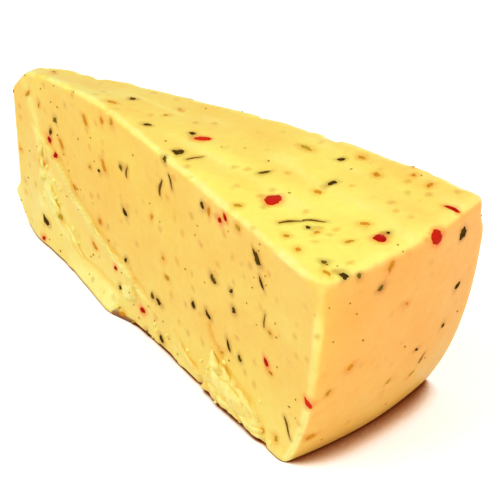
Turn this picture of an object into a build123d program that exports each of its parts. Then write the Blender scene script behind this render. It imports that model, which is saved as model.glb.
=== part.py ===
# A wedge of herb and pepper cheese, cut from the lower half of a wheel.
# The tip points to -X and the rind faces +X. One cut face looks to -Y (the near
# face) and the other to +Y (the far face). Z is up, and the origin is under the
# middle of the wedge's box, on the surface that it stands on. Millimetres.
import os
from math import asin, cos, degrees, radians, sin, tan

from build123d import *

# The wheel that the wedge comes from. Its rind leans in more and more towards
# the base, in two arcs.
WHEEL_RADIUS = 126.0
WHEEL_HEIGHT = 60.0
RIND_LEAN = 2.3             # degrees from upright, under the shoulder
RIND_UPPER_RADIUS = 180.0
RIND_UPPER_TURN = 9.5       # degrees
RIND_LOWER_RADIUS = 95.0
SHOULDER_ROUND = 3.2
BASE_ROUND = 1.4

# The two knife cuts and the blunt tip between them.
WEDGE_LENGTH = 150.0
NEAR_ANGLE = 10.5           # degrees between the near cut and the wedge's middle line
FAR_ANGLE = 9.6
TIP_WIDTH = 2.6
TIP_ROUND = 1.0

# The top sags to the tip. Along each long edge its height is given as
# (distance from the tip, height), up to where it runs out above the flat top.
NEAR_SAG = ((-9.0, 44.5), (9.0, 51.0), (30.0, 56.5), (50.0, 59.5), (68.0, 60.5))
FAR_SAG = ((-9.0, 47.0), (12.0, 49.5), (46.0, 54.5), (80.0, 58.5), (104.0, 60.5))
WASTE_MARGIN = 1.0          # the waste reaches this far past each cut face

# The broken corner at the top of the tip, the rounded one at its foot, and the
# bead of cheese squeezed out there.
CHIP_HEIGHT = 42.0
CHIP_SLOPE = 46.0           # degrees
FOOT_ROUND = 6.0
TIP_CUT = 20.0              # how far the cuts that make both reach
BEAD_REACH = 2.6            # past the tip
BEAD_HEIGHT = 8.6           # of its middle
BEAD_RADIUS = 2.3           # seen from above
BEAD_HALF_HEIGHT = 3.6
BEAD_END_ROUND = 2.1

# The layer that the knife dragged down the near face. Its upper edge is given as
# (distance from the tip, height).
DRAG_EDGE = ((3.0, 36.0), (14.0, 35.0), (27.5, 29.0), (40.0, 21.5), (52.0, 15.0), (66.0, 12.0))
DRAG_BOTTOM = 0.9
DRAG_PROUD = 0.9

# The lip pressed out at the foot of that layer, and the torn flap nearer to the
# rind: (start, end, height at the start, height at the end, how far it stands out).
LIP = (27.0, 54.5, 4.0, 7.0, 2.6)
FLAP = (97.0, 121.0, 10.0, 6.5, 2.0)
LEDGE_UNDERCUT = 1.6        # the underside of both slopes back to the face
LEDGE_ROOT = 1.0            # and both start this deep in the cheese

# The nicks in the top's long edges: (distance from the tip, edge height, radius).
NEAR_NICK = (51.5, 60.0, 1.9)
FAR_NICK = (29.5, 53.0, 2.6)

# Worked out from the sizes above.
tip_x = BEAD_REACH - (WEDGE_LENGTH + BEAD_REACH) / 2
bead_x = tip_x + BEAD_RADIUS - BEAD_REACH
rind_x = tip_x + WEDGE_LENGTH
wheel_x = rind_x - WHEEL_RADIUS
upper_lean = radians(RIND_LEAN)
middle_lean = radians(RIND_LEAN + RIND_UPPER_TURN)
upper_drop = RIND_UPPER_RADIUS * (sin(middle_lean) - sin(upper_lean))
lower_lean = asin(sin(middle_lean) + (WHEEL_HEIGHT - upper_drop) / RIND_LOWER_RADIUS)

# Each cut face has a plane whose X runs from the tip to the rind, whose Y is up
# and whose Z points to the near side.
near_face = Plane(
    origin=(tip_x, 0, 0),
    x_dir=(cos(radians(NEAR_ANGLE)), -sin(radians(NEAR_ANGLE)), 0),
    z_dir=(-sin(radians(NEAR_ANGLE)), -cos(radians(NEAR_ANGLE)), 0),
)
far_face = Plane(
    origin=(tip_x, TIP_WIDTH, 0),
    x_dir=(cos(radians(FAR_ANGLE)), sin(radians(FAR_ANGLE)), 0),
    z_dir=(sin(radians(FAR_ANGLE)), -cos(radians(FAR_ANGLE)), 0),
)


def waste_section(face, sag):
    """The section, in one cut face's plane, of what the sagging top leaves out."""
    above = 2 * WHEEL_HEIGHT
    with BuildSketch(face) as section:
        with BuildLine():
            edge = Spline(*sag)
            Polyline(edge @ 1, (sag[-1][0], above), (sag[0][0], above), edge @ 0)
        make_face()
    return section.sketch


def ledge(start, end, start_height, end_height, proud):
    """A strip of cheese pressed out along the foot of the near face."""
    with BuildPart() as strip:
        for station, height, reach in (
            (start, start_height, 0.35 * proud),
            (0.5 * (start + end), 0.5 * (start_height + end_height), 0.8 * proud),
            (end, end_height, proud),
        ):
            across = Plane(origin=near_face.from_local_coords((station, 0, 0)),
                           x_dir=near_face.z_dir, z_dir=-near_face.x_dir)
            with BuildSketch(across):
                with BuildLine():
                    Polyline((-LEDGE_ROOT, DRAG_BOTTOM), (0, DRAG_BOTTOM), (reach, LEDGE_UNDERCUT),
                             (0.6 * reach, 0.7 * height), (0, height), (-LEDGE_ROOT, height), close=True)
                make_face()
        loft(ruled=True)
    return strip.part


with BuildPart() as top_waste:
    add(waste_section(near_face.offset(WASTE_MARGIN), NEAR_SAG))
    add(waste_section(far_face.offset(-WASTE_MARGIN), FAR_SAG))
    loft(ruled=True)

with BuildPart() as dragged_layer:
    with BuildSketch(near_face):
        with BuildLine():
            drag_edge = Spline(*DRAG_EDGE)
            Polyline(drag_edge @ 1, (DRAG_EDGE[-1][0], DRAG_BOTTOM), (FOOT_ROUND, DRAG_BOTTOM),
                     (DRAG_EDGE[0][0], FOOT_ROUND), drag_edge @ 0)
        make_face()
    extrude(amount=DRAG_PROUD, both=True)

with BuildPart() as bead:
    with Locations((bead_x, 0.5 * TIP_WIDTH, BEAD_HEIGHT)):
        Cylinder(BEAD_RADIUS, 2 * BEAD_HALF_HEIGHT)
    fillet(bead.edges().filter_by(GeomType.CIRCLE), radius=BEAD_END_ROUND)

with BuildPart() as cheese_wedge:
    # The wheel, turned about its own axis.
    with BuildSketch(Plane(origin=(wheel_x, 0, 0), x_dir=(-1, 0, 0), z_dir=(0, 1, 0))) as half_section:
        with BuildLine():
            upper_rind = JernArc((WHEEL_RADIUS, WHEEL_HEIGHT), (-sin(upper_lean), -cos(upper_lean)),
                                 RIND_UPPER_RADIUS, -RIND_UPPER_TURN)
            lower_rind = JernArc(upper_rind @ 1, upper_rind % 1, RIND_LOWER_RADIUS,
                                 -degrees(lower_lean - middle_lean))
            Polyline(lower_rind @ 1, (0, 0), (0, WHEEL_HEIGHT), upper_rind @ 0)
        make_face()
        fillet(half_section.vertices().sort_by(Axis.X)[-1], radius=SHOULDER_ROUND)
        fillet(half_section.vertices().group_by(Axis.Y)[0].sort_by(Axis.X)[-1], radius=BASE_ROUND)
    revolve(axis=Axis((wheel_x, 0, 0), (0, 0, 1)))
    # The two cuts and the blunt tip.
    with BuildSketch() as plan:
        with BuildLine():
            Polyline((tip_x, 0), (rind_x, -WEDGE_LENGTH * tan(radians(NEAR_ANGLE))),
                     (rind_x, TIP_WIDTH + WEDGE_LENGTH * tan(radians(FAR_ANGLE))),
                     (tip_x, TIP_WIDTH), close=True)
        make_face()
        fillet(plan.vertices().group_by(Axis.X)[0], radius=TIP_ROUND)
    extrude(amount=WHEEL_HEIGHT, mode=Mode.INTERSECT)
    # The sagging top.
    add(top_waste.part, mode=Mode.SUBTRACT)
    # The broken upper corner of the tip and its rounded foot.
    with BuildSketch(Plane(origin=(tip_x, 0, 0), x_dir=(1, 0, 0), z_dir=(0, -1, 0))):
        with BuildLine():
            Polyline((-FOOT_ROUND, CHIP_HEIGHT - FOOT_ROUND * tan(radians(CHIP_SLOPE))),
                     (TIP_CUT, CHIP_HEIGHT + TIP_CUT * tan(radians(CHIP_SLOPE))),
                     (-FOOT_ROUND, CHIP_HEIGHT + TIP_CUT * tan(radians(CHIP_SLOPE))), close=True)
        make_face()
        with Locations((0.5 * FOOT_ROUND, 0.5 * FOOT_ROUND)):
            Rectangle(FOOT_ROUND, FOOT_ROUND)
        with Locations((FOOT_ROUND, FOOT_ROUND)):
            Circle(FOOT_ROUND, mode=Mode.SUBTRACT)
    extrude(amount=TIP_CUT, both=True, mode=Mode.SUBTRACT)
    # What the knife dragged and pressed out.
    add(dragged_layer.part)
    add(ledge(*LIP))
    add(ledge(*FLAP))
    add(bead.part)
    # The nicks in the two long edges of the top.
    for face, (station, height, radius) in ((near_face, NEAR_NICK), (far_face, FAR_NICK)):
        with Locations(face.from_local_coords((station, height, 0))):
            Sphere(radius, mode=Mode.SUBTRACT)

cheese_wedge.part.label = "cheese_wedge"
os.makedirs("parts", exist_ok=True)
export_step(cheese_wedge.part, "parts/cheese_wedge.step")
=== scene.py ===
import math
from collections import namedtuple

import bpy
import numpy as np
from bpy.props import FloatProperty, FloatVectorProperty, IntProperty, PointerProperty
from mathutils import Matrix, Vector
from mathutils.kdtree import KDTree


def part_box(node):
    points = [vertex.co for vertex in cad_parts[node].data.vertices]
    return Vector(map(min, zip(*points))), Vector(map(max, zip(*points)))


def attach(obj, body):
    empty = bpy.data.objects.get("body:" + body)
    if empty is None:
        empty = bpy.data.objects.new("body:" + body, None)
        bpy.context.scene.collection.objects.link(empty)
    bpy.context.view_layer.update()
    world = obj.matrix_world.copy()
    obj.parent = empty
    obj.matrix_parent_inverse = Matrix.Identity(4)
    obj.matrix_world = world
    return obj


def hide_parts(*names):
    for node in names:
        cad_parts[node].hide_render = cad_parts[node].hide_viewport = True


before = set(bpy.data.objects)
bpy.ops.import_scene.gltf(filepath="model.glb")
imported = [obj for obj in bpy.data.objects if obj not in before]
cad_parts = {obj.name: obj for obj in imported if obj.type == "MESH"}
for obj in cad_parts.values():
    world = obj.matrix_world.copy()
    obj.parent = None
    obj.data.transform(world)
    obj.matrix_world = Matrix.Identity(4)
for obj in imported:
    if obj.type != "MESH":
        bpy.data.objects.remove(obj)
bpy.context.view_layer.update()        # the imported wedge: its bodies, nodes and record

bl_info = {
    "name": "Herb cheese wedge",
    "version": (1, 0, 0),
    "blender": (4, 5, 0),
    "location": "3D View > Sidebar > Cheese",
    "description": "Builds a wedge of herb and pepper cheese on a pale studio floor",
    "category": "Add Mesh",
}

NODE = "cheese_wedge"
BODY = "root"
MM = 0.001
LOW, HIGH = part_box(NODE)

# ---------------------------------------------------------------------------
# The wedge's form, in millimetres. The tip points to -X, the rind faces +X, the
# near cut face looks to -Y and the far one to +Y. Places on a face are given as
# (distance from the tip, height).

WEDGE_LENGTH = 150.0
WHEEL_RADIUS = 126.0
BEAD_REACH = 2.6            # the bead at the tip's foot stands this far past the tip
BEAD_HEIGHT = 8.6           # of its middle
BEAD_PROUD = 2.3            # how far it is pushed out of the smooth tip
TIP_X = LOW.x / MM + BEAD_REACH
WHEEL_X = TIP_X + WEDGE_LENGTH - WHEEL_RADIUS
RIND_LEAN = math.radians(2.3)
RIND_UPPER_TURN = math.radians(9.5)
RIND_UPPER_RADIUS = 180.0
RIND_LOWER_RADIUS = 95.0

NEAR_SAG = ((-20, 39), (-9, 44.5), (9, 51), (30, 56.5), (50, 59.5), (66, 60), (100, 60), (170, 59.5))
FAR_SAG = (
    (-20, 45.5), (-9, 47), (6, 49.5), (17, 52), (27, 53),
    (46, 55.5), (62, 57), (80, 59), (95, 60), (170, 60),
)
CHIP_HEIGHT = 42.0
CHIP_SLOPE = math.radians(46.0)
FOOT_ROUND = 6.0
FOOT_SHARE = 0.586          # of that rounding: how far up the tip its slanted cut reaches
SKIN_COUNTS = (260, 56, 104)      # quads from tip to rind, near to far and base to top
BUNCHING = (0.15, 0.35, 0.45)     # how much closer they are at both ends

# Marks on the near face, as paths of (distance from the tip, height).
DRAG = (
    (2, 36.5), (14, 35), (22, 32), (28, 28.5), (34, 23.5), (40, 21),
    (45, 18.5), (49, 17.5), (53, 16.5), (59, 15.5), (65, 13), (72, 10.5),
)
INNER = (
    (16, 34), (14.5, 28), (16, 24.5), (18, 21.5), (20, 18.5),
    (22, 16), (25, 14), (28, 12), (32, 9), (36, 6),
)
STREAK = ((6, 50), (10, 42), (13, 36), (15.5, 28), (18.5, 20), (22, 14), (29, 8))
LIP_TOP = ((27, 9), (34, 7), (39, 6.5), (46, 6.5), (51, 6.5), (55, 5.5), (59, 4), (64, 2.5))
CORD = ((82.5, 9.5), (85.5, 7), (88, 5.5), (90.5, 4.5), (94.5, 4), (99, 4.5))
GROOVE = ((99.5, 22), (101, 19), (102.5, 17), (104, 15), (106, 13.5))
FLAP_TOP = (
    (97.5, 15), (99.5, 14), (101.5, 12.5), (104, 12), (108, 12), (112, 11),
    (116, 10), (120, 8.5), (123, 6), (125, 2), (125, -3),
)
PLATE = (60.5, 9.0, 25.0)   # middle and turn in degrees of the small raised plate
# The nicks in the top's long edges: the face, the place on it and the radius.
NICKS = (("near", 51.5, 60, 1.5), ("near", 77.5, 60.5, 1.3), ("near", 92, 60, 1.0), ("far", 29.5, 53.5, 1.5))

# Smears and rolls of torn paste: the points of each as (distance from the tip,
# height, distance out of the face), then its width and thickness.
ROLLS = (
    (((101.5, 15, 0.1), (102.5, 13, 0.8), (104.5, 11, 1.0), (106.5, 10.5, 0.5)), 2.5, 2.0),
    (((105.5, 12, 0.4), (108.5, 12, 0.8), (110.5, 10.5, 0.7), (111, 9.5, 0.3)), 1.3, 1.2),
    (((101, 8, 0.5), (106, 7.5, 1.2), (112, 7, 1.5), (117, 5.5, 1.2), (120, 4.5, 0.6)), 5.2, 1.7),
    (((114, 4, 1.0), (118.5, 3, 1.5), (122.5, 3, 1.1), (124.5, 4, 0.3)), 2.2, 1.6),
    (((112, 10, 0.3), (116.5, 9, 0.8), (120.5, 7, 0.6), (123, 5.5, 0.2)), 1.7, 1.2),
    (((99, 5, 0.3), (102.5, 4, 1.0), (107, 3, 1.4), (112, 3, 0.9)), 2.8, 2.0),
    (((82.5, 9.5, 0.0), (86, 7, 0.3), (90, 4.5, 0.4), (95, 4, 0.4), (98.5, 4.5, 0.1)), 1.3, 0.9),
    (((16.5, 24, 0.3), (18.5, 20.5, 0.7), (21, 17.5, 0.8), (24.5, 14.5, 0.4)), 3.0, 1.3),
    (((15.5, 32, 0.1), (14.5, 28, 0.5), (16, 24.5, 0.5)), 2.6, 1.0),
    (((18, 19.5, 0.3), (20.5, 19, 0.9), (22.5, 17.5, 0.4)), 1.7, 1.3),
    (((17, 22, 0.3), (19, 22.5, 0.8), (21, 22, 0.2)), 1.6, 1.2),
    (((24, 15, 0.2), (28, 12, 0.5), (32, 9, 0.5), (36, 7, 0.2)), 1.8, 0.8),
    (((42, 20.5, 0.3), (47, 18, 0.5), (51.5, 17, 0.5), (56, 16, 0.3)), 0.8, 0.7),
)


def curve_through(points, at):
    """The heights at `at` of a smooth curve through (place, height) points."""
    x, y = np.array(points).T
    slope = np.gradient(y, x)
    at = np.clip(at, x[0], x[-1])
    i = np.clip(np.searchsorted(x, at) - 1, 0, len(x) - 2)
    span = x[i + 1] - x[i]
    t = (at - x[i]) / span
    return (
        (2 * t**3 - 3 * t**2 + 1) * y[i]
        + (t**3 - 2 * t**2 + t) * span * slope[i]
        + (3 * t**2 - 2 * t**3) * y[i + 1]
        + (t**3 - t**2) * span * slope[i + 1]
    )


def ease(value, start, end):
    """0 before start, 1 after end, and a smooth rise between them."""
    t = np.clip((value - start) / (end - start), 0, 1)
    return t * t * (3 - 2 * t)


def hump(value, middle, width):
    """A rounded bump of height 1."""
    return np.exp(-(((value - middle) / width) ** 2))


def noise(points, size, seed):
    """Smooth noise from -1 to 1 with swells about `size` across."""
    lattice = 16
    table = np.random.default_rng(seed).uniform(-1, 1, (lattice,) * 3)
    grid = points / size
    cell = np.floor(grid).astype(int)
    part = grid - cell
    part = part * part * (3 - 2 * part)
    total = np.zeros(len(points))
    for corner in np.ndindex(2, 2, 2):
        at = (cell + corner) % lattice
        weight = np.prod(np.where(corner, part, 1 - part), axis=1)
        total += weight * table[at[:, 0], at[:, 1], at[:, 2]]
    return total


class Form:
    """The smooth wedge as distances to its faces, for sizes in millimetres."""

    def __init__(self, shape):
        self.height = shape.height / MM
        self.wheel_radius = shape.wheel_radius / MM
        self.near_angle = shape.near_angle
        self.far_angle = shape.far_angle
        self.tip_width = shape.tip_width / MM
        self.edge_round = shape.edge_round / MM
        self.shoulder_round = shape.shoulder_round / MM
        self.near_out = np.array((-math.sin(self.near_angle), -math.cos(self.near_angle), 0.0))
        self.near_along = np.array((math.cos(self.near_angle), -math.sin(self.near_angle), 0.0))
        self.far_out = np.array((-math.sin(self.far_angle), math.cos(self.far_angle), 0.0))
        self.far_along = np.array((math.cos(self.far_angle), math.sin(self.far_angle), 0.0))
        self.near_corner = np.array((TIP_X, 0.0, 0.0))
        self.far_corner = np.array((TIP_X, self.tip_width, 0.0))

    def rind_radius(self, z):
        """How far the rind is from the wheel's axis at each height."""
        middle = RIND_LEAN + RIND_UPPER_TURN
        drop = self.height - z
        upper_drop = RIND_UPPER_RADIUS * (math.sin(middle) - math.sin(RIND_LEAN))
        upper = np.arcsin(np.clip(math.sin(RIND_LEAN) + drop / RIND_UPPER_RADIUS, -1, 1))
        lower = np.arcsin(np.clip(math.sin(middle) + (drop - upper_drop) / RIND_LOWER_RADIUS, -1, 1))
        at_upper = self.wheel_radius - RIND_UPPER_RADIUS * (math.cos(RIND_LEAN) - np.cos(upper))
        at_middle = self.wheel_radius - RIND_UPPER_RADIUS * (math.cos(RIND_LEAN) - math.cos(middle))
        at_lower = at_middle - RIND_LOWER_RADIUS * (math.cos(middle) - np.cos(lower))
        return np.where(drop < upper_drop, at_upper, at_lower)

    def near(self, p):
        """Distance from the tip along the near face, and distance out of it."""
        away = p - self.near_corner
        return away @ self.near_along, away @ self.near_out

    def far(self, p):
        """The same for the far face."""
        away = p - self.far_corner
        return away @ self.far_along, away @ self.far_out

    def top_height(self, p):
        """The top's height over each point, between its two sagging edges."""
        along_near, out_near = self.near(p)
        along_far, out_far = self.far(p)
        inside_near = np.maximum(-out_near, 0) + 0.01
        inside_far = np.maximum(-out_far, 0) + 0.01
        share = inside_near / (inside_near + inside_far)
        near_edge = curve_through(NEAR_SAG, along_near)
        far_edge = curve_through(FAR_SAG, along_far)
        return near_edge + share * (far_edge - near_edge)

    def distances(self, p):
        """Distances out of the near, far, top, base, rind, tip and chip faces."""
        along_tip = p[:, 0] - TIP_X
        chip = -along_tip * math.sin(CHIP_SLOPE) + (p[:, 2] - CHIP_HEIGHT) * math.cos(CHIP_SLOPE)
        foot = -(along_tip + p[:, 2] - FOOT_SHARE * FOOT_ROUND) * math.sqrt(0.5)
        return np.stack((
            self.near(p)[1],
            self.far(p)[1],
            p[:, 2] - self.top_height(p),
            -p[:, 2],
            np.hypot(p[:, 0] - WHEEL_X, p[:, 1]) - self.rind_radius(p[:, 2]),
            -along_tip,
            chip,
            foot,
        ))

    def rounding(self, p):
        """The edges' rounding: more at the rind and most at its shoulder."""
        at_rind = ease(p[:, 0], TIP_X + 135, TIP_X + 146)
        at_top = ease(p[:, 2], self.height - 12, self.height - 5)
        base = self.edge_round * (1 + 0.25 * noise(p, 9.0, 3))
        at_far = ease(p[:, 1], 8.0, 20.0) * at_rind
        base = base * (1 - 0.6 * at_far)
        at_rind = at_rind * (1 - 0.9 * at_far * (1 - at_top))
        return base + at_rind * (0.9 + (self.shoulder_round - self.edge_round - 0.9) * at_top)

    def depth(self, p):
        """One signed distance for the whole rounded wedge."""
        r = self.rounding(p)
        away = np.maximum(self.distances(p) + r, 0)
        return np.sqrt((away**2).sum(axis=0)) - r

    def gradient(self, p):
        step = 0.05
        slopes = [
            (self.depth(p + np.eye(3)[axis] * step) - self.depth(p - np.eye(3)[axis] * step)) / (2 * step)
            for axis in range(3)
        ]
        return np.stack(slopes, axis=1)

    def settle(self, p, rounds=5):
        """Moves points onto the rounded wedge, and gives its outward directions there."""
        for _ in range(rounds):
            slope = self.gradient(p)
            reach = self.depth(p)
            p = p - slope * (reach / np.maximum((slope**2).sum(axis=1), 0.2))[:, None]
        slope = self.gradient(p)
        return p, slope / np.linalg.norm(slope, axis=1)[:, None]

    def hard_point(self, s, w, h):
        """A point of the unrounded wedge: s from tip to rind, w from near to far, h up."""
        angle = -self.near_angle + w * (self.near_angle + self.far_angle)
        start_y = w * self.tip_width
        z = h * self.height
        for _ in range(3):
            # Where this line from the tip meets the rind at this height.
            dx, dy = np.cos(angle), np.sin(angle)
            ax = TIP_X - WHEEL_X
            half = ax * dx + start_y * dy
            rest = ax**2 + start_y**2 - self.rind_radius(z) ** 2
            full = -half + np.sqrt(half**2 - rest)
            p = np.stack((TIP_X + s * full * dx, start_y + s * full * dy, z), axis=1)
            z = h * self.top_height(p)
        p[:, 2] = z
        return p


def smooth_path(path):
    """Rounds the corners of a path by cutting them twice."""
    path = np.array(path, float)
    for _ in range(2):
        first, last = path[:1], path[-1:]
        cut = np.stack((0.75 * path[:-1] + 0.25 * path[1:], 0.25 * path[:-1] + 0.75 * path[1:]), axis=1)
        path = np.concatenate((first, cut.reshape(-1, path.shape[1]), last))
    return path


def stroke(a, z, path):
    """Distances above (or right of) a path, and each nearest place on it from 0 to 1."""
    path = smooth_path(path)
    steps = np.linalg.norm(np.diff(path, axis=0), axis=1)
    starts = np.concatenate(((0.0,), np.cumsum(steps)))
    gap, side, place = np.full(len(a), 1e9), np.zeros(len(a)), np.zeros(len(a))
    for start, end, base, step in zip(path[:-1], path[1:], starts, steps):
        line = (end - start) / step
        da, dz = a - start[0], z - start[1]
        t = np.clip(da * line[0] + dz * line[1], 0, step)
        away = np.hypot(da - t * line[0], dz - t * line[1])
        nearer = away < gap
        gap = np.where(nearer, away, gap)
        side = np.where(nearer, np.sign(line[0] * dz - line[1] * da), side)
        place = np.where(nearer, base + t, place)
    return gap * side, place / starts[-1]


def between(value, start, end, soft):
    """1 between start and end, with soft sides."""
    return ease(value, start - soft, start + soft) * (1 - ease(value, end - soft, end + soft))


def near_relief(a, z, p):
    """What the knife did to the near face: how far the paste stands out; how pale it is,
    for smeared paste and for painted highlights where ridges and lumps face the light;
    the painted shade in its trenches, grooves and hollows; and the crust at its foot,
    with painted shade in the undercut gaps."""
    rough = 0.5 + 0.5 * noise(p, 4.0, 12)
    a = a + 0.45 * noise(p, 5.0, 10) + 0.25 * noise(p, 1.7, 11)
    z = z + ease(z, 1.0, 4.0) * (0.35 * noise(p, 4.4, 13) + 0.2 * noise(p, 1.5, 14))

    d, t = stroke(a, z, DRAG)
    fade = ease(t, 0.03, 0.3) * (1 - ease(a, 66, 72))
    layer = fade * (1 - ease(d, -0.4, 0.3)) * (0.25 + 0.5 * np.exp(np.minimum(d, 0) / 2.5))
    burr = fade * hump(d, -0.5, 0.6) * (0.15 + 0.4 * rough)
    trench = fade * hump(d, 0.8, 0.7)

    d, t = stroke(a, z, INNER)
    fade = ease(t, 0.0, 0.2) * (1 - ease(t, 0.92, 1.0)) * ease(a, 4, 12)
    inner = fade * (1 - ease(d, -0.5, 0.4)) * (0.22 + 0.3 * rough)
    ridge = fade * hump(d, -0.6, 0.9) * (0.25 + 0.7 * rough)
    crumbly = between(a, 13, 27, 3.0) * between(z, 11, 26, 2.5)
    lumps = crumbly * np.maximum(noise(p, 2.4, 16), 0)

    d, t = stroke(a, z, STREAK)
    streak = hump(d, 0, 2.2) * between(t, 0.06, 0.94, 0.06) * (0.3 + 0.5 * rough)

    d, _ = stroke(a, z, LIP_TOP)
    floor_end = (1 - ease(z, 1.0, 1.9)) * np.clip((62.5 - a) / 7.0, 0, 1)
    end = np.maximum(floor_end, 1 - ease(a, 55.0, 56.4))
    lip = 0.12 * (1 - ease(d, -0.5, 0)) + 0.88 * np.clip(-d / 6.0, 0, 1)
    lip = np.clip((a - 27) / 26, 0, 1) * end * lip
    above_lip = between(a, 33, 55, 3.0) * hump(d, 0.5, 0.6)

    turn = math.radians(PLATE[2])
    u = (a - PLATE[0]) * math.cos(turn) + (z - PLATE[1]) * math.sin(turn)
    v = (z - PLATE[1]) * math.cos(turn) - (a - PLATE[0]) * math.sin(turn)
    plate = between(u, -3.3, 3.3, 0.4) * between(v, -1.9, 1.9, 0.4)
    beside = hump(u, 4.6, 1.0) * between(v, -2.5, 4.5, 1.0)

    d, t = stroke(a, z, CORD)
    cord = between(t, 0.06, 0.96, 0.06) * hump(d, -0.3, 0.8) * (0.4 + 0.5 * rough)
    below_cord = between(a, 82, 98, 1.5) * (1 - ease(d, -0.8, 0.2))

    d, t = stroke(a, z, GROOVE)
    groove = between(t, 0.08, 0.95, 0.08) * hump(d, 0, 0.65)

    d, t = stroke(a, z, FLAP_TOP)
    run = ease(a - 0.35 * z, 96.2, 97.6)
    flap = run * (1 - ease(d + 0.8 * noise(p, 3.0, 24), -1.2, 0.0)) * ease(z, 0.6, 1.9)
    torn = 0.45 - 1.3 * np.abs(noise(p, 3.4, 21)) + 0.3 * noise(p, 1.4, 22)
    flap_pale = flap * np.exp(np.minimum(d, 0) / 6.0) * (0.9 + 0.5 * torn)
    flap_out = flap * (0.35 + 1.0 * np.clip(-d / 7.0, 0, 1) ** 0.6 + 0.8 * torn)
    above_flap = run * hump(d, 0.6, 0.6) * (0.3 + 0.7 * rough)

    gaps = between(a, 62.8, 71.5, 0.5) + between(a, 74.3, 84.0, 0.6) + 0.5 * between(a, 86.5, 94, 1.0)
    under = gaps * (1 - ease(z, 0.8, 1.3))
    foot = 0.4 * (1 - ease(z, 1.0, 14.0)) * (1 - ease(a, 58.0, 66.0)) + 0.25 * (1 - ease(z, 1.0, 5.0))
    foot = foot * ease(a, 4, 12)
    notch = -1.1 * hump(a, 96.0, 0.9) * (1 - ease(z, 2.0, 5.0))
    corner_bump = 0.9 * between(a, 126, 133, 1.6) * (1 - ease(z, 1.5, 5.0))
    chips = (1 - ease(z, 0.8, 3.0)) * np.maximum(noise(p, 5.0, 19), 0) * ease(a, 84, 88)
    swell = 0.24 * noise(p, 21.0, 17) + 0.10 * noise(p, 8.0, 18) + 0.035 * noise(p, 2.6, 23)

    height = (layer + burr - 0.4 * trench + inner + ridge + 0.8 * lumps + 2.9 * lip - 0.25 * above_lip
              + plate * (0.25 + 0.2 * (u + 3.3)) + cord + 0.3 * below_cord - 0.9 * groove + flap_out
              - 0.3 * above_flap - 0.7 * under + foot + notch + corner_bump - 0.8 * chips + swell)
    # Smeared paste, and painted highlight where the burr, ridges, lumps, lip, plate, cord and flap face the
    # light.
    pale = (0.60 * layer + 0.25 * (1 - ease(z, 4, 24)) + 2.2 * burr + 0.9 * ridge + 0.9 * lumps
            + 0.95 * np.minimum(3 * lip, 1) * ease(z, 0.8, 1.6) * (1 - ease(a, 55.0, 56.4))
            + 0.9 * plate + 0.9 * cord + 0.2 * below_cord + flap_pale + streak + 0.4 * corner_bump)
    # Painted shade in the trenches, grooves and hollows beside the raised marks and in the torn flap.
    groove_shade = (0.25 * trench + 0.4 * above_lip + 0.7 * beside + 1.2 * groove + 0.7 * above_flap
            + 0.9 * flap * np.maximum(-torn, 0))
    # Dark brown rind layer at the foot, along the lip's end and under the flap, and painted shade in the
    # undercut gaps.
    crust_and_shade = np.clip(under + (1 - ease(z, 1.2, 1.7)) * between(a, 55.2, 62.8, 0.4)
                    + 0.6 * run * between(a, 98, 123, 1.0) * (1 - ease(z, 1.2, 2.2))
                    + 0.6 * between(a, 3, 50, 6.0) * (1 - ease(z, 0.5, 1.1)), 0, 1)
    return height, np.clip(pale, 0, 1), np.clip(groove_shade, 0, 1), crust_and_shade


def far_relief(b, z, p):
    """The far face: the same knife, one shallow drag step and gentle swells."""
    edge = 20 + 0.16 * b + 1.5 * noise(p, 12.0, 21)
    step = 0.35 * ease(edge - z, -0.6, 0.8) * (1 - ease(b, 88, 110)) * ease(b, 10, 30)
    foot = 0.5 * (1 - ease(z, 0.8, 5.0)) * (0.6 + 0.4 * noise(p, 9.0, 22))
    step = step + 0.35 * ease(b, 120, 150)
    return step + foot * (0.3 + 0.7 * ease(z, 0.1, 1.5)) + 0.2 * noise(p, 19.0, 23) + 0.1 * noise(p, 7.0, 24)


def spaced(count, bunching):
    """Places from 0 to 1, closer together at both ends."""
    t = np.linspace(0, 1, count + 1)
    return t - bunching * np.sin(2 * np.pi * t) / (2 * np.pi)


def box_skin(counts):
    """The lattice points and outward quads of a box's six sides, with shared edges."""
    corners = []
    for axis in range(3):
        u, v = [k for k in range(3) if k != axis]
        for side in (0, counts[axis]):
            i, j = np.meshgrid(np.arange(counts[u]), np.arange(counts[v]), indexing="ij")
            ring = ((0, 0), (1, 0), (1, 1), (0, 1))
            if (side == 0) == (axis != 1):
                ring = ring[::-1]
            quad = np.zeros(i.shape + (4, 3), int)
            for k, (du, dv) in enumerate(ring):
                quad[..., k, u] = i + du
                quad[..., k, v] = j + dv
                quad[..., k, axis] = side
            corners.append(quad.reshape(-1, 4, 3))
    corners = np.concatenate(corners)
    points, index = np.unique(corners.reshape(-1, 3), axis=0, return_inverse=True)
    return points, index.reshape(-1, 4)


def new_mesh(name, points, faces, smooth=True):
    """A mesh object at the origin, from points in millimetres."""
    mesh = bpy.data.meshes.new(name)
    mesh.from_pydata((np.asarray(points) * MM).tolist(), [], [tuple(map(int, face)) for face in faces])
    mesh.validate()
    mesh.polygons.foreach_set("use_smooth", [smooth] * len(mesh.polygons))
    piece = bpy.data.objects.new(name, mesh)
    bpy.context.scene.collection.objects.link(piece)
    return piece


def paint(piece, name, kind, values):
    """Stores one value for each point of a piece under a name."""
    layer = piece.data.attributes.new(name, kind, "POINT")
    field = {"FLOAT": "value", "FLOAT_COLOR": "color", "FLOAT_VECTOR": "vector"}[kind]
    layer.data.foreach_set(field, np.asarray(values, np.float32).ravel())


# ---------------------------------------------------------------------------
# Materials.

def add_node(tree, kind, place, **settings):
    node = tree.nodes.new(kind)
    node.location = place
    for name, value in settings.items():
        setattr(node, name, value)
    return node


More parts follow.
